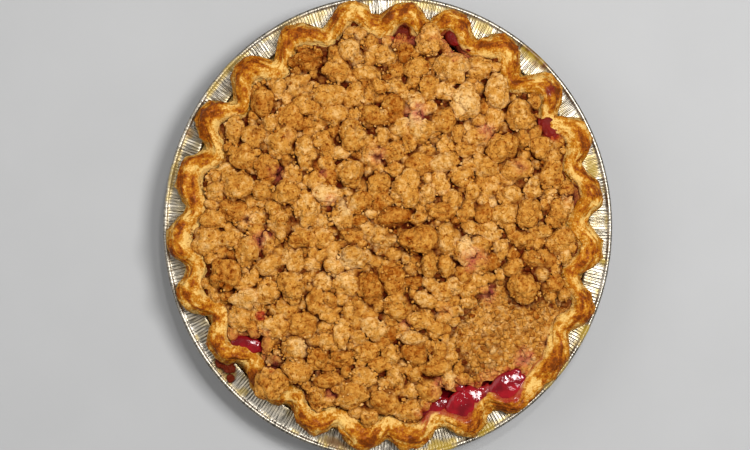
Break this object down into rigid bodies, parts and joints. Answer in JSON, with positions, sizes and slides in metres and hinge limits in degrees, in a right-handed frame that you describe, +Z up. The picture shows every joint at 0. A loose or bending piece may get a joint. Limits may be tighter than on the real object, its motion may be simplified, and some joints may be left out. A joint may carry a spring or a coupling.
{
  "type": "cherry pie",
  "caption": "Whole round cherry pie with a fluted pastry rim and a streusel crumb topping, in its foil baking tin.",
  "frame": {"origin": "middle of the underside of the tin's floor", "axes": "+Z up; +Y towards the far side of the pie as it is seen from above, across the tin's longer diameter; +X to the right"},
  "size_m": [0.241, 0.249, 0.0574],
  "materials": {
    "foil": "bright crimped foil with baked-on juice",
    "pastry": "baked butter pastry, golden brown",
    "cherry": "wet cherry filling",
    "streusel": "baked streusel crumbs, dry and sandy"
  },
  "bodies": {
    "root": {"pie_tin": "foil", "crust": "pastry", "cherry_filling": "cherry", "crumb_topping": "streusel", "crumb_lump_01": "streusel", "crumb_lump_02": "streusel", "crumb_lump_03": "streusel", "crumb_lump_04": "streusel", "crumb_lump_05": "streusel", "crumb_lump_06": "streusel", "crumb_lump_07": "streusel", "crumb_lump_08": "streusel", "crumb_lump_09": "streusel", "crumb_lump_10": "streusel", "crumb_lump_11": "streusel", "crumb_lump_12": "streusel", "crumb_lump_13": "streusel", "crumb_lump_14": "streusel", "crumb_lump_15": "streusel", "crumb_lump_16": "streusel", "crumb_lump_17": "streusel", "crumb_lump_18": "streusel", "crumb_lump_19": "streusel", "crumb_lump_20": "streusel", "crumb_lump_21": "streusel", "crumb_lump_22": "streusel", "crumb_lump_23": "streusel", "crumb_lump_24": "streusel"}
  },
  "joints": []
}
